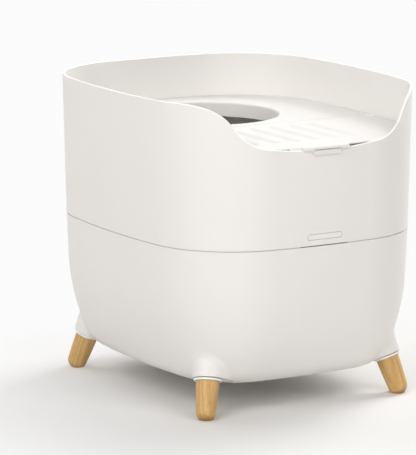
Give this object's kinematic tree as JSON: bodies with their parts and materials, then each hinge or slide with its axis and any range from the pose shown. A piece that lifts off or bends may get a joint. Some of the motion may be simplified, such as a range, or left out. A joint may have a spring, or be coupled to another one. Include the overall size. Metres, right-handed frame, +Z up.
{
  "type": "top-entry litter box",
  "caption": "Free-standing top-entry litter box: rounded two-part body with a dipped front rim, sunken deck with a round way in, flip-up grooved lid and latch button, on splayed wooden legs.",
  "frame": {"origin": "on the floor, under the middle of the body", "axes": "+Z up, front with the button and the low rim towards -Y, +X to the right seen from the front"},
  "size_m": [0.4198, 0.4914, 0.441],
  "materials": {
    "shell_plastic": "satin warm white moulded plastic",
    "deck_plastic": "satin warm white moulded plastic",
    "button_plastic": "satin warm white moulded plastic",
    "collar_plastic": "smooth white moulded plastic",
    "inner_plastic": "plain white moulded plastic",
    "leg_wood": "clear satin lacquer on light hardwood, grain along the leg",
    "pin_steel": "bright drawn steel",
    "spring_steel": "bright spring wire",
    "screw_steel": "zinc plated",
    "bolt_steel": "zinc plated",
    "insert_brass": "plain turned brass"
  },
  "bodies": {
    "base": {"litter_tub": "shell_plastic", "leg_front_left": "leg_wood", "leg_front_right": "leg_wood", "leg_rear_left": "leg_wood", "leg_rear_right": "leg_wood", "leg_collar_front_left": "collar_plastic", "leg_collar_front_right": "collar_plastic", "leg_collar_rear_left": "collar_plastic", "leg_collar_rear_right": "collar_plastic", "leg_bolts": "bolt_steel", "leg_inserts": "insert_brass"},
    "shell": {"upper_shell": "shell_plastic", "entry_deck": "deck_plastic", "deck_screws": "screw_steel", "latch_housing": "inner_plastic", "latch_screws": "screw_steel", "latch_spring": "spring_steel"},
    "lid": {"tread_lid": "deck_plastic", "hinge_pin_left": "pin_steel", "hinge_pin_right": "pin_steel"},
    "latch": {"latch_button": "button_plastic"}
  },
  "joints": [
    {"name": "shell_lift", "type": "slide", "parent": "base", "child": "shell", "axis": [0, 0, 1], "range_m": [0, 0.32]},
    {"name": "lid_hinge", "type": "hinge", "parent": "shell", "child": "lid", "pos_m": [0, -0.046, 0.374], "axis": [-1, 0, 0], "range_deg": [0, 105]},
    {"name": "latch_press", "type": "slide", "parent": "shell", "child": "latch", "axis": [0, 1, 0], "range_m": [0, 0.004], "stiffness_N_per_m": 400, "springref_m": -0.004, "deforming": ["latch_spring"]}
  ]
}
